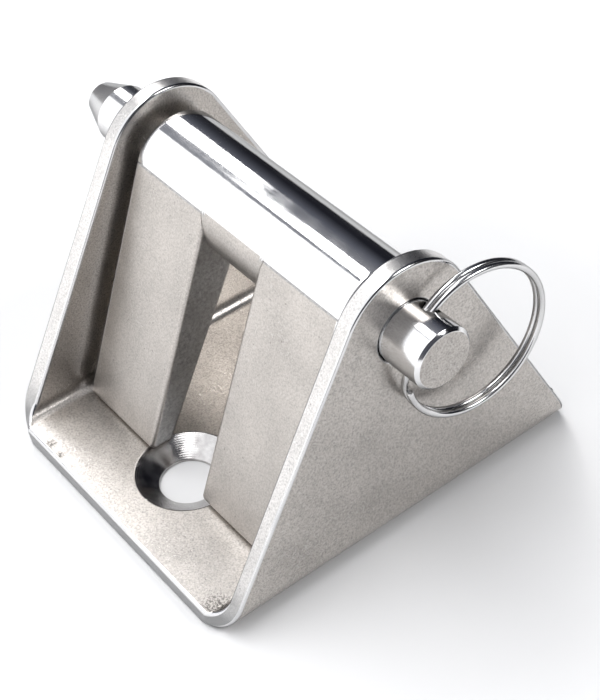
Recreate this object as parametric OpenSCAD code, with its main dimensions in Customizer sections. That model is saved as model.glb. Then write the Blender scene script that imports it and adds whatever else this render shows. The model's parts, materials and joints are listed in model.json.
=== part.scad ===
// Anchor chain stopper: a U bracket that bolts to the deck, a forked flap that
// drops over the chain, and a removable quick-release pin that carries the flap.
// X runs along the pin, Y along the chain (front is -Y), Z is up.
// The origin is the centre of the bracket's underside.

/* [Bracket] */
// Width across the outside of the two cheeks
bracket_w = 60; // [50:1:80]
// Length of the base along the chain
base_l = 71; // [60:1:90]
// Thickness of the plate the bracket is made of
plate_t = 3; // [2:0.1:4]
// Outside radius of the two bends
bend_r = 6; // [4:0.5:7]
// Inside radius of the two bends
inner_bend_r = 2; // [1:0.5:5]
// Height of the pin axis above the underside
pin_z = 40.9; // [36:0.2:50]
// Height of the base's upright end faces
end_face_h = 2.5; // [1:0.1:3]
// Height at which a cheek's straight edges begin
edge_start_h = 5.5; // [4:0.1:8]
// Radius of the rounded top of a cheek, round the pin axis
apex_r = 11.3; // [9:0.1:13]

/* [Deck screws] */
// Distance from the middle to each screw hole, along the chain
hole_y = 20.8; // [16:0.1:24]
// Diameter of a screw hole
hole_d = 9.5; // [8.4:0.1:10]
// Diameter of the countersink at the top face
sink_d = 17; // [15:0.1:18]
// Height of the straight wall left under the countersink
land_h = 0.5; // [0.3:0.1:1]

/* [Flap] */
// Length of the flap's barrel, along the pin
flap_w = 50; // [44:0.5:53]
// Outside diameter of the barrel
barrel_d = 16.2; // [15:0.1:18]
// Lean of the flap's front face from upright, in degrees
front_lean = 21.2; // [18:0.1:24]
// Lean of the flap's rear face from upright, in degrees
rear_lean = 27.7; // [26:0.1:30]
// Front-to-back depth of the flap's lower end
tip_depth = 4.6; // [3:0.1:6]
// Width of the chain slot
slot_w = 13.5; // [10:0.1:16]
// Gap between the resting flap and the base
rest_gap = 0.3; // [0.2:0.1:0.5]

/* [Pin] */
// Diameter of the pin
pin_d = 10; // [9:0.1:10]
// Radial clearance of the pin in the cheeks and the barrel
pin_gap = 0.075; // [0.03:0.005:0.1]
// How far the pin stands out of the right cheek
head_out = 7.8; // [6:0.1:10]
// How far the pin stands out of the left cheek, with its nose
nose_out = 16.5; // [14:0.1:18]
// Length of the tapered nose
nose_l = 6; // [4:0.1:7]
// Diameter of the nose's flat end
nose_d = 5.8; // [4:0.1:7]
// Chamfer on the pin's ring end
head_chamfer = 0.5; // [0.3:0.1:1]

/* [Split ring] */
// Outside diameter of the ring
ring_d = 25.6; // [24:0.1:28]
// Diameter of the ring's wire
wire_d = 1.1; // [0.9:0.05:1.2]
// Distance from the right cheek to the middle of the ring's hole in the pin
ring_hole_out = 2.1; // [2:0.1:3]
// Diameter of the ring's hole in the pin
ring_hole_d = 3.2; // [3.1:0.1:3.4]
// Lean of the ring's hole towards the rear, in degrees from upright
hole_lean = 30; // [0:0.5:45]
// Swing of the ring from straight out towards the rear, in degrees
ring_swing = 86.5; // [0:0.5:88]
// How far the ring lies off the middle of its hole, towards the hole's near side
ring_slip = 0.25; // [0:0.05:0.4]

/* [Detent] */
// Diameter of the detent ball
ball_d = 3; // [2.5:0.1:3.2]
// Distance from the left cheek to the middle of the ball
ball_out = 3.2; // [2.6:0.1:5]
// How far the pressed-in ball lies below the pin's surface
ball_sink = 0.1; // [0.05:0.01:0.15]
// Radial clearance of the ball in its pocket
ball_gap = 0.05; // [0.03:0.01:0.08]
// Depth of the pocket's floor below the pin axis
pocket_below = 2; // [1:0.1:2.5]
// Diameter of the spring's wire
spring_wire_d = 0.3; // [0.2:0.05:0.4]
// Outside diameter of the spring
spring_d = 2.6; // [2:0.1:2.8]
// Number of turns of the spring
spring_turns = 5; // [3:1:6]

/* [Hidden] */
$fn = 96;

cut = 1;                              // overrun of every cutting tool
half_w = bracket_w / 2;
pin_r = pin_d / 2;
bore_r = pin_r + pin_gap;

// The cheek's straight edge points at the base corner and is tangent to the rounded top.
corner_dist = norm([base_l / 2, pin_z]);
edge_angle = atan2(pin_z, -base_l / 2) - asin(apex_r / corner_dist);
apex_side = apex_r * [cos(edge_angle - 90), sin(edge_angle - 90)];

// The flap's front face is tangent to the barrel; both faces end just above the base.
barrel_r = barrel_d / 2;
flap_foot_z = plate_t + rest_gap;
front_top = [-barrel_r * cos(front_lean), pin_z + barrel_r * sin(front_lean)];
front_foot = [front_top[0] - (front_top[1] - flap_foot_z) * tan(front_lean), flap_foot_z];
rear_foot = [front_foot[0] + tip_depth, flap_foot_z];
rear_top = [rear_foot[0] + (pin_z - flap_foot_z) * tan(rear_lean), pin_z];

head_x = half_w + head_out;
nose_x = -half_w - nose_out;

wire_r = wire_d / 2;
ring_r = ring_d / 2 - wire_r;
turn_pitch = 0.9 * wire_d;            // the two turns lie pressed together
bow = ring_r - sqrt(pow(ring_r, 2) - pow(pin_r, 2));  // rise of the ring over the pin's width
ring_hole_x = half_w + ring_hole_out;

ball_x = -half_w - ball_out;
ball_r = ball_d / 2;
ball_z = pin_z + pin_r - ball_sink - ball_r;
pocket_r = ball_r + ball_gap;
mouth_r = 1.35;                       // staked mouth that keeps the ball in
mouth_h = 0.15;
spring_end_gap = 0.02;
spring_low = pin_z - pocket_below + spring_end_gap;
spring_high = ball_z - ball_r - spring_end_gap;
spring_sides = 8;
spring_steps = 24;                    // rings in one turn of the spring

// Puts a shape drawn in (Y, Z) upright and spreads it along X about the middle.
module across(width) {
    rotate([90, 0, 90]) linear_extrude(height = width, center = true) children();
}

module rounded_slab(w, r, top) {
    union() {
        translate([-w / 2 + r, 0]) square([w - 2 * r, r]);
        translate([-w / 2, r]) square([w, top - r]);
        for (side = [-1, 1]) translate([side * (w / 2 - r), r]) circle(r = r);
    }
}

module bend_profile() {
    top = pin_z + apex_r + cut;
    difference() {
        rounded_slab(bracket_w, bend_r, top);
        translate([0, plate_t])
            rounded_slab(bracket_w - 2 * plate_t, inner_bend_r, top);
    }
}

module cheek_outline() {
    corner = base_l / 2;
    edge_start = corner + edge_start_h / tan(edge_angle);
    union() {
        polygon([
            [-corner, 0], [corner, 0], [corner, end_face_h], [edge_start, edge_start_h],
            [apex_side[0], pin_z + apex_side[1]], [-apex_side[0], pin_z + apex_side[1]],
            [-edge_start, edge_start_h], [-corner, end_face_h]
        ]);
        translate([0, pin_z]) circle(r = apex_r);
    }
}

module screw_hole() {
    translate([0, 0, -cut]) cylinder(h = plate_t + 2 * cut, d = hole_d);
    sink_slope = (sink_d - hole_d) / (plate_t - land_h);
    translate([0, 0, land_h])
        cylinder(h = plate_t - land_h + cut, d1 = hole_d, d2 = sink_d + cut * sink_slope);
}

module bracket() {
    color("silver") difference() {
        intersection() {
            rotate([90, 0, 0]) linear_extrude(height = base_l, center = true) bend_profile();
            across(bracket_w + cut) cheek_outline();
        }
        for (side = [-1, 1]) translate([0, side * hole_y, 0]) screw_hole();
        translate([0, 0, pin_z]) rotate([0, 90, 0])
            cylinder(h = bracket_w + 2 * cut, r = bore_r, center = true);
    }
}

module flap() {
    color("lightgray") difference() {
        union() {
            difference() {
                across(flap_w) polygon([front_top, front_foot, rear_foot, rear_top]);
                across(slot_w) translate([front_foot[0] - cut, 0])
                    square([2 * corner_dist, 2 * pin_z]);
            }
            translate([0, 0, pin_z]) rotate([0, 90, 0])
                cylinder(h = flap_w, r = barrel_r, center = true);
        }
        translate([0, 0, pin_z]) rotate([0, 90, 0])
            cylinder(h = flap_w + 2 * cut, r = bore_r, center = true);
    }
}

module pin() {
    color("gainsboro") difference() {
        translate([0, 0, pin_z]) rotate([0, 90, 0]) rotate_extrude() polygon([
            [0, nose_x], [nose_d / 2, nose_x], [pin_r, nose_x + nose_l],
            [pin_r, head_x - head_chamfer], [pin_r - head_chamfer, head_x], [0, head_x]
        ]);
        translate([ring_hole_x, 0, pin_z]) rotate([-hole_lean, 0, 0])
            cylinder(h = 2 * pin_d, d = ring_hole_d, center = true);
        translate([ball_x, 0, pin_z]) {
            translate([0, 0, -pocket_below])
                cylinder(h = pocket_below + pin_r - mouth_h, r = pocket_r);
            cylinder(h = pin_d, r = mouth_r);
        }
    }
}

// Two turns of wire, pressed together; the ring's plane holds the leaning hole's axis.
module split_ring() {
    color("whitesmoke") translate([ring_hole_x, 0, pin_z])
        rotate([-hole_lean, 0, 0]) rotate([0, 0, ring_swing])
        translate([ring_r - bow / 2 - ring_slip, 0, 0]) rotate([90, 0, 0]) rotate_extrude()
            for (side = [-1, 1]) translate([ring_r, side * turn_pitch / 2]) circle(r = wire_r);
}

module detent_ball() {
    color("white") translate([ball_x, 0, ball_z]) sphere(r = ball_r);
}

// A ring of points round the spring's wire, at step i along the coil.
function spring_ring(i) =
    let (
        turn = 360 * i / spring_steps,
        rise = (spring_high - spring_low - spring_wire_d) * i / (spring_turns * spring_steps),
        coil_r = (spring_d - spring_wire_d) / 2
    )
    [for (k = [0:spring_sides - 1])
        let (
            a = 360 * k / spring_sides,
            r = coil_r + spring_wire_d / 2 * cos(a),
            z = spring_low + spring_wire_d / 2 * (1 + sin(a)) + rise
        )
        [ball_x + r * cos(turn), r * sin(turn), z]
    ];

module detent_spring() {
    last = spring_turns * spring_steps;
    points = [for (i = [0:last]) each spring_ring(i)];
    walls = [for (i = [0:last - 1], k = [0:spring_sides - 1])
        let (next = (k + 1) % spring_sides, low = i * spring_sides, high = low + spring_sides)
        [low + k, high + k, high + next, low + next]
    ];
    start_cap = [for (k = [0:spring_sides - 1]) k];
    end_cap = [for (k = [spring_sides - 1:-1:0]) last * spring_sides + k];
    color("darkgray") polyhedron(points = points, faces = concat(walls, [start_cap, end_cap]));
}

bracket();
flap();
pin();
split_ring();
detent_ball();
detent_spring();
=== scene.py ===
# Looks of the anchor chain stopper: each piece is rebuilt with rounded edges around the CAD
# frame. Shapes are worked out in millimetres, and new_piece() turns them into metres.
# X runs along the pin, Y along the chain (front is -Y), Z is up from the deck.

import json
from math import acos, asin, atan2, cos, degrees, hypot, pi, radians, sin, sqrt, tan

import bmesh
import bpy
from mathutils import Matrix, Vector


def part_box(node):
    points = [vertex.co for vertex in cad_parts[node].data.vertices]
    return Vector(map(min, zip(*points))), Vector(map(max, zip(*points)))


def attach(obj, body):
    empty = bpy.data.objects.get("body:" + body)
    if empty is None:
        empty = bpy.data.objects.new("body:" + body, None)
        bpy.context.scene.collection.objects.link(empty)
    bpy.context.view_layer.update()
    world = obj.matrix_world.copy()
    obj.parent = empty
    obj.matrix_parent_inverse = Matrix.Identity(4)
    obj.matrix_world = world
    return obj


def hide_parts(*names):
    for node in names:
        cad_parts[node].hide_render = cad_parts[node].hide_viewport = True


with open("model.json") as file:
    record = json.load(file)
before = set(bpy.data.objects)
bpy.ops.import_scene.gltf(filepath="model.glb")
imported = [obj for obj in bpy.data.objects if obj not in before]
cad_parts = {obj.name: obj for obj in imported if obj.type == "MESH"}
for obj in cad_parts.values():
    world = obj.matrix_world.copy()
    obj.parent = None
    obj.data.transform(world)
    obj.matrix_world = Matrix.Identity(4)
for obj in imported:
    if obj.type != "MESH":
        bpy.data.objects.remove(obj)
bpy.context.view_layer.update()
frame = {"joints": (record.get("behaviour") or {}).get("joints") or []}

MM = 0.001


def box_mm(node):
    low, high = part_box(node)
    return low / MM, high / MM


_, bracket_high = box_mm("bracket")
flap_low, flap_high = box_mm("flap")
pin_low, pin_high = box_mm("pin")
ball_low, ball_high = box_mm("detent_ball")
spring_low, spring_high = box_mm("detent_spring")
joints = {joint["name"]: joint for joint in frame["joints"]}

# Bracket
HALF_W = bracket_high.x
HALF_L = bracket_high.y
PIN_Z = joints["flap_swing"]["pos_m"][2] / MM
APEX_R = bracket_high.z - PIN_Z
PLATE_T = 3.0
BEND_R = 6.0
INNER_BEND_R = 2.0
EDGE_ROUND = 0.48
BORE_ROUND = 0.3
SINK_ROUND = 0.12
BEND_STEPS = 20
APEX_STEPS = 48
HOLE_Y = 20.8
TURNING_PITCH = 0.32
HOLE_R = 4.75
SINK_R = 8.5
LAND_H = 0.5
FOOT_SHADE_FROM, FOOT_SHADE_TO = 9.0, 3.0     # heights between which painted shade darkens the cut edge towards the deck
BLEMISHES = ((25.2, -33.2, 3.8, 3.4), (-19.5, -34.4, 3.0, 1.3), (-16.4, -34.5, 3.0, 1.0))

# Flap
FLAP_HALF_W = flap_high.x
BARREL_R = 8.1
FRONT_LEAN = 21.2
REAR_LEAN = 27.7
TIP_DEPTH = 4.6
SLOT_HALF_W = 6.75
FOOT_Z = flap_low.z
SLOT_ROUND = 0.9
END_ROUND = 0.7
FOOT_ROUND = 1.0
GROOVE_W = 0.36
GROOVE_DEPTH = 0.16

# Pin
PIN_R = (pin_high.z - pin_low.z) / 2
BORE_R = PIN_R + 0.075
NOSE_L = 6.0
NOSE_R = 2.9
HEAD_CHAMFER = 0.5
RING_HOLE_R = 1.6
BALL_X = (ball_low.x + ball_high.x) / 2
BALL_R = (ball_high.z - ball_low.z) / 2
MOUTH_R = 1.35
MOUTH_T = 0.15
POCKET_DEPTH = 2.0                # below the pin's axis

# Split ring: the two turns are a touch thinner than the CAD's, so that they lie side by side
RING_X = joints["ring_swing"]["pos_m"][0] / MM
HOLE_LEAN = degrees(atan2(joints["ring_swing"]["axis"][1], joints["ring_swing"]["axis"][2]))
RING_SWING = 86.5
RING_R = 12.27
RING_SLIP = 0.25
WIRE_R = 0.52
TURN_OFFSET = 0.525


# ---------------------------------------------------------------- materials

class Nodes:
    """A material's node tree, with the surface's position in millimetres at hand."""

    def __init__(self, name, metallic=1.0):
        self.material = bpy.data.materials.new(name)
        self.material.use_nodes = True
        self.tree = self.material.node_tree
        self.shader = self.tree.nodes["Principled BSDF"]
        self.shader.inputs["Metallic"].default_value = metallic
        self.place = self.tree.nodes.new("ShaderNodeTexCoord").outputs["Object"]

    def link(self, value, socket):
        if isinstance(value, bpy.types.NodeSocket):
            self.tree.links.new(value, socket)
        else:
            socket.default_value = value

    def math(self, operation, a, b=0.0, c=0.0):
        node = self.tree.nodes.new("ShaderNodeMath")
        node.operation = operation
        for socket, value in zip(node.inputs, (a, b, c)):
            self.link(value, socket)
        return node.outputs[0]

    def stretched(self, scale):
        """Position in millimetres, times scale along each axis."""
        node = self.tree.nodes.new("ShaderNodeMapping")
        node.inputs["Scale"].default_value = [s / MM for s in scale]
        self.link(self.place, node.inputs["Vector"])
        return node.outputs[0]

    def axes(self):
        """X, Y and Z in millimetres."""
        node = self.tree.nodes.new("ShaderNodeSeparateXYZ")
        self.link(self.stretched((1, 1, 1)), node.inputs[0])
        return node.outputs[0], node.outputs[1], node.outputs[2]

    def noise(self, size, detail=2.0, rough=0.5, stretch=(1, 1, 1)):
        """Noise from 0 to 1 whose features are about size millimetres across."""
        node = self.tree.nodes.new("ShaderNodeTexNoise")
        self.link(self.stretched([s / size for s in stretch]), node.inputs["Vector"])
        node.inputs["Scale"].default_value = 1.0
        node.inputs["Detail"].default_value = detail
        node.inputs["Roughness"].default_value = rough
        return node.outputs["Fac"]

    def pits(self, size, amount):
        """Small round spots, 1 inside a spot and 0 outside; amount is their share of the size."""
        node = self.tree.nodes.new("ShaderNodeTexVoronoi")
        self.link(self.stretched([1 / size] * 3), node.inputs["Vector"])
        node.inputs["Scale"].default_value = 1.0
        return self.spread(node.outputs["Distance"], amount, 0.5 * amount, 0.0, 1.0)

    def spread(self, value, low, high, to_low, to_high):
        """Maps low..high to to_low..to_high and clamps it."""
        node = self.tree.nodes.new("ShaderNodeMapRange")
        for name, v in (("Value", value), ("From Min", low), ("From Max", high),
                        ("To Min", to_low), ("To Max", to_high)):
            self.link(v, node.inputs[name])
        return node.outputs[0]

    def ramp(self, value, *stops):
        """Colour ramp: stops are (position, colour)."""
        node = self.tree.nodes.new("ShaderNodeValToRGB")
        elements = node.color_ramp.elements
        while len(elements) < len(stops):
            elements.new(0.5)
        for element, (position, colour) in zip(elements, stops):
            element.position = position
            element.color = (*colour, 1.0)
        self.link(value, node.inputs[0])
        return node.outputs[0]

    def mix(self, factor, a, b):
        node = self.tree.nodes.new("ShaderNodeMix")
        node.data_type = "RGBA"
        self.link(factor, node.inputs[0])
        self.link(a if isinstance(a, bpy.types.NodeSocket) else (*a, 1.0), node.inputs[6])
        self.link(b if isinstance(b, bpy.types.NodeSocket) else (*b, 1.0), node.inputs[7])
        return node.outputs[2]

    def bump(self, height, depth, below=None):
        """Bump of that depth in millimetres, on top of another bump."""
        node = self.tree.nodes.new("ShaderNodeBump")
        node.inputs["Strength"].default_value = 1.0
        node.inputs["Distance"].default_value = depth * MM
        self.link(height, node.inputs["Height"])
        if below is not None:
            self.link(below, node.inputs["Normal"])
        return node.outputs[0]

    def finish(self, colour, roughness, normal):
        self.link(colour, self.shader.inputs["Base Color"])
        self.link(roughness, self.shader.inputs["Roughness"])
        self.link(normal, self.shader.inputs["Normal"])
        return self.material


def satin_steel(name, tone=0.62, warmth=0.07, rough=0.40, grain=0.012, speckle=0.8, marks=(), foot=1.0):
    """Bead-blasted stainless plate: fine grain, soft cloudy patches and a few small pits. Each of
    the marks (x, y, z, radius) is a patch of darker, rougher skin, and foot is the tone of the
    painted shade next to the deck, where the colour is darkened to stand in for shade."""
    n = Nodes(name)
    cloud = n.noise(9.0, 3.0)
    speck = n.noise(0.29, 3.0, 0.75)
    pits = n.pits(1.9, 0.10)
    dark, light = [(t * (1 + warmth), t, t * (1 - warmth)) for t in (tone * 0.88, tone * 1.08)]
    base = n.ramp(cloud, (0.3, dark), (0.7, light))
    base = n.mix(n.spread(speck, 0.48, 0.68, 0.0, 0.85 * speckle), base, (tone * 0.42,) * 3)
    base = n.mix(n.spread(speck, 0.48, 0.34, 0.0, 0.5 * speckle), base, (min(0.95, tone * 1.5),) * 3)
    # Painted shade: near the deck the colour darkens towards foot times the tone.
    if foot < 1:
        base = n.mix(n.spread(n.axes()[2], FOOT_SHADE_TO, FOOT_SHADE_FROM, 1.0, 0.0), base,
                     (tone * foot,) * 3)
    for x, y, z, radius in marks:
        away = n.tree.nodes.new("ShaderNodeVectorMath")
        away.operation = "DISTANCE"
        n.link(n.stretched((1, 1, 1)), away.inputs[0])
        away.inputs[1].default_value = (x, y, z)
        near = n.spread(away.outputs["Value"], 0.3 * radius, radius, 1.0, 0.0)
        hollow = n.math("MULTIPLY", near, n.spread(n.noise(0.38, 3.0, 0.7), 0.47, 0.55, 0.0, 1.0))
        base = n.mix(hollow, base, (0.10, 0.095, 0.09))
        pits = n.math("MAXIMUM", pits, hollow)
    base = n.mix(n.math("MULTIPLY", pits, 0.5), base, (0.16, 0.15, 0.14))
    roughness = n.math("ADD", n.spread(cloud, 0.3, 0.7, rough - 0.05, rough + 0.05),
                       n.spread(speck, 0.3, 0.7, -0.05, 0.05))
    normal = n.bump(n.noise(5.0, 2.0), 0.02)
    normal = n.bump(n.noise(0.34, 3.0, 0.65), grain, normal)
    return n.finish(base, roughness, n.bump(pits, -0.02, normal))


def polished_steel(name, tone=0.78, rough=0.10, along=(0.15, 1, 1), rim=1.0):
    """Polished stainless with faint buffing lines; rim is its shade at a glancing angle."""
    n = Nodes(name)
    n.shader.inputs["Specular Tint"].default_value = (rim, rim, rim, 1.0)
    cloud = n.noise(6.0, 2.0)
    lines = n.noise(0.16, 3.0, 0.6, along)
    base = n.ramp(cloud, (0.3, (tone - 0.05, tone - 0.05, tone - 0.045)),
                  (0.7, (tone + 0.04, tone + 0.035, tone + 0.03)))
    base = n.mix(n.spread(lines, 0.5, 0.8, 0.0, 0.25), base, (tone - 0.25,) * 3)
    roughness = n.math("ADD", n.spread(cloud, 0.3, 0.7, rough - 0.03, rough + 0.04),
                       n.spread(lines, 0.3, 0.7, -0.02, 0.04))
    normal = n.bump(n.noise(4.0, 1.0), 0.006)
    return n.finish(base, roughness, n.bump(lines, 0.0015, normal))


def cast_steel(name):
    """As-cast skin: coarse grain and dark hollows."""
    n = Nodes(name)
    grain = n.noise(0.5, 4.0, 0.65)
    cloud = n.noise(5.0, 2.0)
    base = n.ramp(grain, (0.35, (0.30, 0.295, 0.29)), (0.65, (0.56, 0.55, 0.54)))
    base = n.mix(n.spread(cloud, 0.4, 0.7, 0.0, 0.4), base, (0.30, 0.29, 0.28))
    roughness = n.spread(grain, 0.3, 0.7, 0.38, 0.58)
    return n.finish(base, roughness, n.bump(grain, 0.035, n.bump(cloud, 0.05)))


def machined_steel(name, centre_y):
    """Turned surface of the countersinks: fine rings round each hole."""
    n = Nodes(name)
    x, y, _ = n.axes()
    y = n.math("SUBTRACT", n.math("ABSOLUTE", y), centre_y)
    radius = n.math("SQRT", n.math("ADD", n.math("MULTIPLY", y, y), n.math("MULTIPLY", x, x)))
    rings = n.math("SINE", n.math("MULTIPLY", radius, 2 * pi / TURNING_PITCH))
    cloud = n.noise(2.5, 2.0)
    base = n.ramp(cloud, (0.3, (0.34, 0.325, 0.32)), (0.7, (0.60, 0.59, 0.58)))
    roughness = n.spread(cloud, 0.3, 0.7, 0.16, 0.28)
    normal = n.bump(cloud, 0.05)
    return n.finish(base, roughness, n.bump(rings, 0.002, normal))


def ground_steel(name):
    """The pin's turned end face."""
    return satin_steel(name, tone=0.43, rough=0.36, grain=0.010)


def floor_material():
    n = Nodes("floor_paint", metallic=0.0)
    n.shader.inputs["Emission Color"].default_value = (1, 1, 1, 1)
    cloud = n.noise(60.0, 2.0)
    distance = n.tree.nodes.new("ShaderNodeVectorMath")
    distance.operation = "LENGTH"
    n.link(n.place, distance.inputs[0])
    n.link(n.spread(distance.outputs["Value"], 0.06, 0.20, 0.0, 0.42),
           n.shader.inputs["Emission Strength"])
    base = n.ramp(cloud, (0.3, (0.74, 0.74, 0.74)), (0.7, (0.76, 0.76, 0.76)))
    return n.finish(base, n.spread(cloud, 0.3, 0.7, 0.75, 0.85), n.bump(cloud, 0.05))


# ---------------------------------------------------------------- mesh tools

CORNER_STEPS = 6
LARGE_SIDES, SMALL_SIDES = 96, 48

def arc(centre, radius, start, end, steps):
    """Points on an arc, from one angle to the other, in degrees."""
    turns = [radians(start + (end - start) * i / steps) for i in range(steps + 1)]
    return [(centre[0] + radius * cos(t), centre[1] + radius * sin(t)) for t in turns]


def rounded_corner(corner, before, after, radius):
    """Points round a corner between the directions to the points before and after it."""
    c = Vector(corner)
    u, v = (Vector(before) - c).normalized(), (Vector(after) - c).normalized()
    half = u.angle(v) / 2
    reach = radius / tan(half)
    middle = c + (u + v).normalized() * (radius / sin(half))
    start, end = c + u * reach - middle, c + v * reach - middle
    sweep = start.angle(end)
    sign = 1 if start.x * end.y - start.y * end.x > 0 else -1
    points = []
    for i in range(CORNER_STEPS + 1):
        turn = sign * sweep * i / CORNER_STEPS
        points.append((middle.x + start.x * cos(turn) - start.y * sin(turn),
                       middle.y + start.x * sin(turn) + start.y * cos(turn)))
    return points


def loft(sections, closed=False):
    """Joins rings of points that all have the same count. Points that coincide are shared, so a
    ring may run into the next one; the faces that this leaves with no area are left out."""
    bm = bmesh.new()
    known = {}

    def vertex(point):
        key = tuple(round(c, 4) for c in point)
        if key not in known:
            known[key] = bm.verts.new(point)
        return known[key]

    rings = [[vertex(p) for p in section] for section in sections]
    pairs = list(zip(rings, rings[1:] + rings[:1] if closed else rings[1:]))
    count = len(rings[0])
    for ring, following in pairs:
        for k in range(count):
            corners = [ring[k], ring[(k + 1) % count], following[(k + 1) % count], following[k]]
            corners = [v for i, v in enumerate(corners) if v not in corners[:i]]
            if len(corners) > 2:
                bm.faces.new(corners)
    return bm, rings


def lathe(profile, steps, place):
    """Solid of revolution. profile holds (radius, height), with radius 0 at both ends; place
    takes (a, b, height) to the point."""
    bm = bmesh.new()
    rings = []
    for radius, height in profile:
        if radius == 0:
            rings.append([bm.verts.new(place(0, 0, height))] * steps)
            continue
        turns = [2 * pi * k / steps for k in range(steps)]
        rings.append([bm.verts.new(place(radius * cos(t), radius * sin(t), height))
                      for t in turns])
    for ring, following in zip(rings, rings[1:]):
        for k in range(steps):
            j = (k + 1) % steps
            corners = [ring[k], ring[j], following[j], following[k]]
            corners = [v for i, v in enumerate(corners) if v not in corners[:i]]
            bm.faces.new(corners)
    bmesh.ops.recalc_face_normals(bm, faces=bm.faces)
    return bm


def tube(path, radius, sides, tip):
    """Round wire along a path of points; its two cut ends are rounded off by tip."""
    path = [Vector(p) for p in path]
    tangents = [(b - a).normalized() for a, b in zip([path[0]] + path[:-1], path[1:] + [path[-1]])]
    side = tangents[0].orthogonal().normalized()
    rings = []
    for point, tangent in zip(path, tangents):
        side = (side - tangent * side.dot(tangent)).normalized()
        rings.append((point, tangent, side, radius))
    steps = 4
    for end, sign in ((0, -1), (-1, 1)):
        point, tangent, side, _ = rings[end]
        cap = []
        for i in range(1, steps + 1):
            turn = radians(90 * i / steps)
            cap.append((point + sign * tangent * tip * sin(turn), tangent, side,
                        radius - tip * (1 - cos(turn))))
        rings = cap[::-1] + rings if sign < 0 else rings + cap
    sections = []
    for point, tangent, side, r in rings:
        other = tangent.cross(side)
        turns = [2 * pi * k / sides for k in range(sides)]
        sections.append([point + side * r * cos(t) + other * r * sin(t) for t in turns])
    bm, made = loft(sections)
    bm.faces.new(made[0])
    bm.faces.new(made[-1])
    bmesh.ops.recalc_face_normals(bm, faces=bm.faces)
    return bm


def scratch(bm):
    """A passing object for a boolean."""
    mesh = bpy.data.meshes.new("scratch")
    bm.to_mesh(mesh)
    bm.free()
    made = bpy.data.objects.new("scratch", mesh)
    bpy.context.scene.collection.objects.link(made)
    return made


def combine(body, *steps):
    """Applies (operation, tool) booleans to a bmesh and returns the result with its flat
    faces merged."""
    base = scratch(body)
    tools = []
    for operation, tool in steps:
        tools.append(scratch(tool))
        modifier = base.modifiers.new("cut", "BOOLEAN")
        modifier.operation, modifier.object, modifier.solver = operation, tools[-1], "EXACT"
    result = bmesh.new()
    result.from_object(base, bpy.context.evaluated_depsgraph_get())
    for o in [base] + tools:
        mesh = o.data
        bpy.data.objects.remove(o)
        bpy.data.meshes.remove(mesh)
    bmesh.ops.remove_doubles(result, verts=result.verts, dist=0.0005)
    bmesh.ops.dissolve_limit(result, angle_limit=radians(0.3), verts=result.verts,
                             edges=result.edges)
    bmesh.ops.recalc_face_normals(result, faces=result.faces)
    return result


def round_edges(bm, chosen, width, steps, material):
    """Rounds the sharp edges that chosen(edge) picks, and gives the new faces a material."""
    edges = [e for e in bm.edges if len(e.link_faces) == 2
             and e.calc_face_angle() > radians(30) and chosen(e)]
    bmesh.ops.bevel(bm, geom=edges, offset=width, offset_type="OFFSET", segments=steps,
                    profile=0.5, affect="EDGES", clamp_overlap=True, material=material,
                    loop_slide=True)


def new_piece(name, bm, body, node, materials, sharp=35.0):
    """Turns a mesh in millimetres into a piece that stands for a CAD node."""
    bmesh.ops.scale(bm, vec=(MM,) * 3, verts=bm.verts)
    mesh = bpy.data.meshes.new(name)
    bm.to_mesh(mesh)
    bm.free()
    for material in materials:
        mesh.materials.append(material)
    mesh.polygons.foreach_set("use_smooth", [True] * len(mesh.polygons))
    mesh.set_sharp_from_angle(angle=radians(sharp))
    piece = bpy.data.objects.new(name, mesh)
    bpy.context.scene.collection.objects.link(piece)
    normals = piece.modifiers.new("normals", "WEIGHTED_NORMAL")
    normals.keep_sharp = True
    normals.weight = 90
    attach(piece, body)
    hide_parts(node)
    return piece


# ---------------------------------------------------------------- bracket

def cheek_stations():
    """The right half of the U from the middle of the base to the top of the cheek: each station
    is (outer point, inner point, half length), with the points as (X, Z)."""
    centre = (HALF_W - BEND_R, BEND_R)
    inner_centre = (HALF_W - PLATE_T - INNER_BEND_R, PLATE_T + INNER_BEND_R)
    corner = hypot(HALF_L, PIN_Z)
    slope = degrees(atan2(PIN_Z, -HALF_L) - asin(APEX_R / corner))
    run = -BEND_R / tan(radians(slope))
    stations = [((x, 0.0), (x, PLATE_T), HALF_L) for x in (0.0, centre[0] / 2)]
    for i in range(BEND_STEPS + 1):
        t = i / BEND_STEPS
        a = radians(270 + 90 * t)
        stations.append(((centre[0] + BEND_R * cos(a), centre[1] + BEND_R * sin(a)),
                         (inner_centre[0] + INNER_BEND_R * cos(a),
                          inner_centre[1] + INNER_BEND_R * sin(a)),
                         HALF_L - run * t * (0.7 + 0.3 * t)))
    for y, z in arc((0, PIN_Z), APEX_R, slope - 90, 90, APEX_STEPS):
        stations.append(((HALF_W, z), (HALF_W - PLATE_T, z), max(0.0, y)))
    return stations


def folded_plate():
    """The U as one plate bent twice, whose ends stay square to the plate round the bends."""
    right = cheek_stations()
    left = [((-a[0], a[1]), (-b[0], b[1]), half) for a, b, half in reversed(right[1:])]
    bm, _ = loft([[(a[0], -half, a[1]), (a[0], half, a[1]), (b[0], half, b[1]),
                   (b[0], -half, b[1])] for a, b, half in left + right])
    bmesh.ops.recalc_face_normals(bm, faces=bm.faces)
    return bm


def screw_tool():
    """Profile of the screw hole with its countersink."""
    slope = (SINK_R - HOLE_R) / (PLATE_T - LAND_H)
    return [(0, -1), (HOLE_R, -1), (HOLE_R, LAND_H), (SINK_R + slope, PLATE_T + 1),
            (0, PLATE_T + 1)]


def through_tool(radius, reach):
    """Profile of a round tool that reaches that far either way."""
    return [(0, -reach), (radius, -reach), (radius, reach), (0, reach)]


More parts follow.
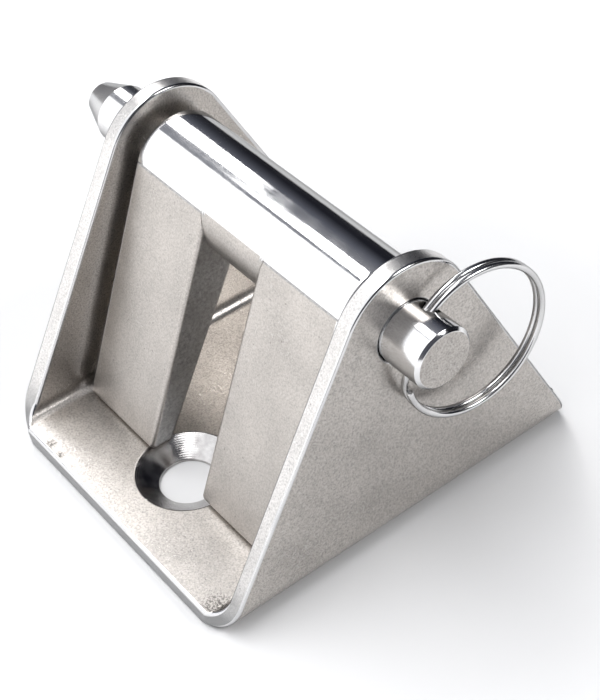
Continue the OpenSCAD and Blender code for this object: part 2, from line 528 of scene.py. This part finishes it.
def bracket():
    cuts = []
    for side in (-1, 1):
        cuts.append(("DIFFERENCE", lathe(screw_tool(), LARGE_SIDES, lambda a, b, c, side=side:
                                         (a, b + side * HOLE_Y, c))))
    cuts.append(("DIFFERENCE", lathe(through_tool(BORE_R, HALF_W + 5), LARGE_SIDES,
                                     lambda a, b, c: (c, a, b + PIN_Z))))
    bm = combine(folded_plate(), *cuts)

    def in_sink(p):
        return hypot(p.x, abs(p.y) - HOLE_Y) < SINK_R + 0.3 and p.z < PLATE_T + 0.1

    def in_bore(p):
        return hypot(p.y, p.z - PIN_Z) < BORE_R + 0.3

    satin, polished, machined, rim = range(4)
    for face in bm.faces:
        centre, normal = face.calc_center_median(), face.normal
        if in_sink(centre) and abs(normal.z) < 0.98:
            face.material_index = machined
        elif in_bore(centre) and abs(normal.x) < 0.5:
            face.material_index = polished
        elif abs(normal.x) < 0.5 and (abs(normal.y) > 0.3 or centre.z > PIN_Z):
            face.material_index = rim
        else:
            face.material_index = satin

    def ends(edge):
        return [v.co for v in edge.verts]

    round_edges(bm, lambda e: not any(in_sink(p) or in_bore(p) for p in ends(e)),
                EDGE_ROUND, 5, polished)
    round_edges(bm, lambda e: all(in_bore(p) for p in ends(e)), BORE_ROUND, 3, polished)
    round_edges(bm, lambda e: all(in_sink(p) for p in ends(e)), SINK_ROUND, 2, machined)
    return new_piece("chain_bracket", bm, "bracket", "bracket",
                     [satin_steel("bracket_satin", tone=0.47, rough=0.33, marks=BLEMISHES),
                      polished_steel("bracket_rounding", tone=0.62, rough=0.14, rim=0.15),
                      machined_steel("bracket_countersink", HOLE_Y),
                      # The colour of bracket_rim darkens towards the deck: painted shade.
                      satin_steel("bracket_rim", tone=0.62, rough=0.32, warmth=0.03, speckle=0.6,
                                  foot=0.45)])


# ---------------------------------------------------------------- flap

UPPER_STEPS, LINE_STEPS, FOOT_STEPS = 84, 22, 6


def along_line(start, end, steps):
    return [tuple(a + (b - a) * i / steps for a, b in zip(start, end))
            for i in range(steps + 1)]


def flap_section(barrel_r, inset):
    """(Y, Z) outline of barrel and leg, drawn in by inset: the barrel's arc, then the leg."""
    front_n, rear_n = 180 - FRONT_LEAN, -REAR_LEAN
    foot_front_y = (-BARREL_R * cos(radians(FRONT_LEAN))
                    - (PIN_Z + BARREL_R * sin(radians(FRONT_LEAN)) - FOOT_Z)
                    * tan(radians(FRONT_LEAN)))
    rear_top_y = foot_front_y + TIP_DEPTH + (PIN_Z - FOOT_Z) * tan(radians(REAR_LEAN))
    front_d = BARREL_R - inset
    rear_d = rear_top_y * cos(radians(REAR_LEAN)) - inset
    front_angle = front_n + degrees(acos(min(1.0, front_d / barrel_r)))
    rear_angle = 360 + rear_n - degrees(acos(rear_d / barrel_r))
    upper = arc((0, PIN_Z), barrel_r, rear_angle - 360, front_angle, UPPER_STEPS)

    def on_line(normal_angle, distance, z):
        a = radians(normal_angle)
        return ((distance - (z - PIN_Z) * sin(a)) / cos(a), z)

    low = FOOT_Z + inset
    front_foot = on_line(front_n, front_d, low)
    rear_foot = on_line(rear_n, rear_d, low)
    radius = max(0.08, FOOT_ROUND - inset)
    front_round = rounded_corner(front_foot, upper[-1], rear_foot, radius)
    rear_round = rounded_corner(rear_foot, front_foot, upper[0], radius)
    groove_middle = on_line(front_n, front_d - GROOVE_DEPTH, upper[-1][1] - GROOVE_W / 2)
    groove_end = on_line(front_n, front_d, upper[-1][1] - GROOVE_W)
    leg = ([groove_middle] + along_line(groove_end, front_round[0], LINE_STEPS)[:-1] + front_round
           + along_line(front_round[-1], rear_round[0], FOOT_STEPS)[1:-1] + rear_round
           + along_line(rear_round[-1], upper[0], LINE_STEPS)[1:-1])
    return upper, leg, (front_angle, rear_angle)


def ring_section(radius, span):
    """The same points as flap_section gives, all on a circle."""
    front_angle, rear_angle = span
    lower_steps = 2 * LINE_STEPS + 2 * (CORNER_STEPS + 1) + FOOT_STEPS
    return (arc((0, PIN_Z), radius, rear_angle - 360, front_angle, UPPER_STEPS)
            + arc((0, PIN_Z), radius, front_angle, rear_angle, lower_steps)[1:-1])


def flap():
    rounding = [radians(90 * i / 6) for i in range(7)]
    right = []        # stations from the middle of the slot out to the end, as (x, outline)
    _, _, wall_span = flap_section(BARREL_R, SLOT_ROUND)
    right.append((SLOT_HALF_W, ring_section(BARREL_R, wall_span)))
    for turn in rounding:
        upper, leg, _ = flap_section(BARREL_R, SLOT_ROUND * (1 - sin(turn)))
        right.append((SLOT_HALF_W + SLOT_ROUND * (1 - cos(turn)), upper + leg))
    straight = FLAP_HALF_W - END_ROUND
    for i in range(1, 8):
        x = right[7][0] + (straight - right[7][0]) * i / 8
        upper, leg, _ = flap_section(BARREL_R, 0.0)
        right.append((x, upper + leg))
    for turn in rounding:
        inset = END_ROUND * (1 - cos(turn))
        upper, leg, end_span = flap_section(BARREL_R - inset, inset)
        right.append((straight + END_ROUND * sin(turn), upper + leg))
    chamfer = 0.35
    right.append((FLAP_HALF_W, ring_section(BORE_R + chamfer, end_span)))
    right.append((FLAP_HALF_W - chamfer, ring_section(BORE_R, end_span)))
    left = [(-x, outline) for x, outline in reversed(right)]
    stations = left + right
    sections = [[(x, y, z) for y, z in outline] for x, outline in stations]
    bm, _ = loft(sections, closed=True)
    bmesh.ops.recalc_face_normals(bm, faces=bm.faces)

    satin, polished, cast = range(3)
    front_low = PIN_Z + BARREL_R * sin(radians(FRONT_LEAN))
    for face in bm.faces:
        centre, normal = face.calc_center_median(), face.normal
        radius = hypot(centre.y, centre.z - PIN_Z)
        on_barrel = radius < BARREL_R + 0.02 and abs(normal.x) < 0.95
        in_groove = centre.y < 0 and front_low - GROOVE_W < centre.z < front_low - 0.02
        if in_groove and abs(centre.x) > SLOT_HALF_W and abs(normal.x) < 0.12:
            face.material_index = cast
        elif on_barrel and (centre.z > front_low or centre.y > 0):
            face.material_index = polished
        elif abs(normal.x) > 0.95 and abs(centre.x) < SLOT_HALF_W + 0.1:
            face.material_index = cast
        elif 0.12 < abs(normal.x) < 0.95 and abs(centre.x) > FLAP_HALF_W / 2:
            face.material_index = polished
        else:
            face.material_index = satin
    return new_piece("chain_flap", bm, "flap", "flap",
                     [satin_steel("flap_satin", tone=0.47, rough=0.34, grain=0.009, speckle=0.5),
                      polished_steel("flap_polish", tone=0.80, rough=0.08, rim=0.35),
                      cast_steel("flap_cast")])


# ---------------------------------------------------------------- pin, ring and detent

def rounded_profile(points, radius, steps=4):
    """(radius, height) profile whose inner corners are rounded."""
    made = [points[0]]
    for before, corner, after in zip(points, points[1:], points[2:]):
        c = Vector(corner)
        u, v = (Vector(before) - c).normalized(), (Vector(after) - c).normalized()
        reach = radius / tan(u.angle(v) / 2)
        a, b = c + u * reach, c + v * reach
        for i in range(steps + 1):
            t = i / steps
            p = a * (1 - t) ** 2 + c * 2 * t * (1 - t) + b * t * t
            made.append((p.x, p.y))
    return made + [points[-1]]


def pin():
    low, high = pin_low.x, pin_high.x
    profile = rounded_profile([(0, low), (NOSE_R, low), (PIN_R, low + NOSE_L),
                               (PIN_R, high - HEAD_CHAMFER), (PIN_R - HEAD_CHAMFER, high),
                               (0, high)], 0.18)
    body = lathe(profile, LARGE_SIDES, lambda a, b, c: (c, a, b + PIN_Z))
    lean = Matrix.Rotation(radians(-HOLE_LEAN), 3, "X")
    centre = Vector((RING_X, 0, PIN_Z))
    hole = lathe(through_tool(RING_HOLE_R, 9), SMALL_SIDES,
                 lambda a, b, c: centre + lean @ Vector((a, b, c)))
    bottom = PIN_Z - POCKET_DEPTH
    mouth = PIN_Z + PIN_R - MOUTH_T
    pocket = lathe([(0, bottom), (BALL_R + 0.05, bottom), (BALL_R + 0.05, mouth),
                    (MOUTH_R, mouth), (MOUTH_R, mouth + 2), (0, mouth + 2)], SMALL_SIDES,
                   lambda a, b, c: (BALL_X + a, b, c))
    bm = combine(body, ("DIFFERENCE", hole), ("DIFFERENCE", pocket))

    def at_hole(p):
        offset = lean.inverted() @ (p - centre)
        return abs(hypot(offset.x, offset.y) - RING_HOLE_R) < 0.05

    round_edges(bm, lambda e: all(at_hole(v.co) for v in e.verts), 0.28, 4, 0)
    end_face = 1
    for face in bm.faces:
        if abs(face.normal.x) > 0.97:
            face.material_index = end_face
    return new_piece("quick_pin", bm, "pin", "pin",
                     [polished_steel("pin_polish", tone=0.78, rough=0.12, rim=0.35),
                      ground_steel("pin_end")])


def ring_place():
    """Takes the ring from its own plane to its place in the pin's hole."""
    bow = RING_R - sqrt(RING_R ** 2 - PIN_R ** 2)
    return (Matrix.Translation((RING_X, 0, PIN_Z)) @ Matrix.Rotation(radians(-HOLE_LEAN), 4, "X")
            @ Matrix.Rotation(radians(RING_SWING), 4, "Z")
            @ Matrix.Translation((RING_R - bow / 2 - RING_SLIP, 0, 0)))


def split_ring():
    """One wire wound twice: it crosses from one side to the other over a short stretch of its
    way, and its two ends lie at the crossing."""
    crossing, half_cross = 214.0, 11.0
    place = ring_place()
    path = []
    start, end = crossing + half_cross - 1.5, crossing + 720 - half_cross + 1.5
    steps = 300
    for i in range(steps + 1):
        angle = start + (end - start) * i / steps
        t = min(1.0, max(0.0, (angle - (crossing + 360 - half_cross)) / (2 * half_cross)))
        side = TURN_OFFSET * (2 * t * t * (3 - 2 * t) - 1)
        a = radians(angle)
        path.append(place @ Vector((RING_R * cos(a), side, RING_R * sin(a))))
    bm = tube(path, WIRE_R, 20, 0.12)
    return new_piece("key_ring", bm, "ring", "split_ring",
                     [polished_steel("ring_polish", tone=0.64, rough=0.16, along=(1, 1, 1), rim=0.3)],
                     sharp=60.0)


def detent_ball():
    """Ball with the faint flat that its seat wears on it."""
    bm = bmesh.new()
    bmesh.ops.create_icosphere(bm, subdivisions=4, radius=BALL_R)
    for v in bm.verts:
        v.co.z = min(v.co.z, BALL_R) if v.co.z > 0 else max(v.co.z, -BALL_R * 0.985)
    centre_z = (ball_low.z + ball_high.z) / 2
    bmesh.ops.translate(bm, vec=(BALL_X, 0, centre_z), verts=bm.verts)
    return new_piece("spring_ball", bm, "ball", "detent_ball",
                     [polished_steel("ball_polish", tone=0.82, rough=0.06, along=(1, 1, 1))])


def detent_spring():
    """Compression spring, wound at an even pitch from end to end."""
    wire_r, turns, steps = 0.15, 5.0, 40
    coil_r = (spring_high.x - spring_low.x) / 2 - wire_r
    low, high = spring_low.z + wire_r, spring_high.z - wire_r
    path = []
    for i in range(int(turns * steps) + 1):
        t = i / (turns * steps)
        rise = low + (high - low) * t
        a = 2 * pi * turns * t
        path.append((BALL_X + coil_r * cos(a), coil_r * sin(a), rise))
    bm = tube(path, wire_r, 12, 0.04)
    return new_piece("ball_spring", bm, "pin", "detent_spring",
                     [polished_steel("spring_wire_steel", tone=0.6, rough=0.25)], sharp=60.0)


# ---------------------------------------------------------------- stage, light and camera

# Shades of the room by direction: (component of the direction, colour)
ROOM_BACK = ((-1.0, (1.0, 0.99, 0.97)), (-0.2, (0.85, 0.83, 0.80)), (0.3, (0.62, 0.60, 0.58)),
             (0.5, (0.36, 0.36, 0.38)), (0.72, (0.05, 0.05, 0.06)))
ROOM_SIDE = ((0.0, (1.0, 1.0, 1.0)), (0.55, (0.42, 0.42, 0.44)), (1.0, (0.25, 0.25, 0.27)))
ROOM_UP = ((-0.5, (1.0, 1.0, 1.0)), (-0.1, (0.75, 0.75, 0.76)), (0.25, (0.34, 0.36, 0.42)))

def floor():
    bm = bmesh.new()
    bmesh.ops.create_grid(bm, x_segments=8, y_segments=8, size=3.0)
    mesh = bpy.data.meshes.new("floor")
    bm.to_mesh(mesh)
    bm.free()
    mesh.materials.append(floor_material())
    made = bpy.data.objects.new("floor", mesh)
    made.location.z = -0.00005
    bpy.context.scene.collection.objects.link(made)


def softbox(name, x, low, high, length, radiance, turn=0.0):
    """Area light as long as length along X about x, whose section runs from low to high; both
    are (y, z) in metres. It shines towards the pin, and turn twists it in its own plane."""
    a, b = Vector((0, *low)), Vector((0, *high))
    up = (b - a).normalized()
    back = Vector((1, 0, 0)).cross(up)
    if back.dot(a + b) < 0:
        back.negate()
    light = bpy.data.lights.new(name, "AREA")
    light.shape = "RECTANGLE"
    light.size, light.size_y = length, (b - a).length
    light.energy = radiance * pi * light.size * light.size_y
    made = bpy.data.objects.new(name, light)
    made.matrix_world = Matrix.Translation((a + b) / 2 + Vector((x, 0, 0))) @ Matrix(
        (up.cross(back), up, back)).transposed().to_4x4() @ Matrix.Rotation(radians(turn), 4, "Z")
    bpy.context.scene.collection.objects.link(made)


def studio():
    """Soft light from the front, the top, the left and the rear right. The room is paler in front
    than behind, paler below than above, and darker on the right, so the steel has something to
    mirror."""
    world = bpy.data.worlds.new("studio")
    world.use_nodes = True
    tree = world.node_tree
    place = tree.nodes.new("ShaderNodeTexCoord")
    split = tree.nodes.new("ShaderNodeSeparateXYZ")
    tree.links.new(place.outputs["Generated"], split.inputs[0])
    shades = []
    for axis, stops in (("X", ROOM_SIDE), ("Y", ROOM_BACK), ("Z", ROOM_UP)):
        spread = tree.nodes.new("ShaderNodeMapRange")
        spread.inputs["From Min"].default_value = -1.0
        tree.links.new(split.outputs[axis], spread.inputs["Value"])
        ramp = tree.nodes.new("ShaderNodeValToRGB")
        elements = ramp.color_ramp.elements
        while len(elements) < len(stops):
            elements.new(0.5)
        for element, (position, colour) in zip(elements, stops):
            element.position, element.color = (position + 1) / 2, (*colour, 1)
        tree.links.new(spread.outputs[0], ramp.inputs[0])
        shades.append(ramp.outputs[0])
    room = shades[0]
    for shade in shades[1:]:
        product = tree.nodes.new("ShaderNodeMix")
        product.data_type, product.blend_type = "RGBA", "MULTIPLY"
        product.inputs[0].default_value = 1.0
        tree.links.new(room, product.inputs[6])
        tree.links.new(shade, product.inputs[7])
        room = product.outputs[2]
    tree.links.new(room, tree.nodes["Background"].inputs["Color"])
    bpy.context.scene.world = world
    softbox("front_box", -0.35, (-0.91, 0.01), (-0.24, 0.96), 1.6, 1.27)
    softbox("top_strip", -0.195, (-0.193, 0.79), (0.077, 0.79), 0.9, 6.0, turn=-14)
    softbox("left_box", -0.90, (0.46, 0.62), (0.10, 0.78), 0.50, 6.0)
    softbox("rear_box", 0.60, (0.57, 0.59), (0.27, 0.775), 0.36, 10.0)
    bpy.context.scene.view_settings.view_transform = "Standard"


def camera():
    """The view down on the front and the ring's side, tipped a little to the right."""
    target = Vector((5.5, -0.95, 20.7)) * MM
    azimuth, elevation, roll = radians(54.96), radians(43.04), radians(4.60)
    back = Vector((sin(azimuth) * cos(elevation), -cos(azimuth) * cos(elevation),
                   sin(elevation)))
    data = bpy.data.cameras.new("camera")
    data.lens, data.sensor_width, data.sensor_fit = 83.7, 36.0, "AUTO"
    data.clip_start, data.clip_end = 0.01, 20.0
    made = bpy.data.objects.new("camera", data)
    made.location = target + back * 252.0 * MM
    made.rotation_mode = "QUATERNION"
    turn = Matrix.Rotation(-roll, 3, "Z").to_quaternion()
    made.rotation_quaternion = back.to_track_quat("Z", "Y") @ turn
    bpy.context.scene.collection.objects.link(made)
    bpy.context.scene.camera = made


camera()
studio()
floor()
bracket()
flap()
pin()
split_ring()
detent_ball()
detent_spring()
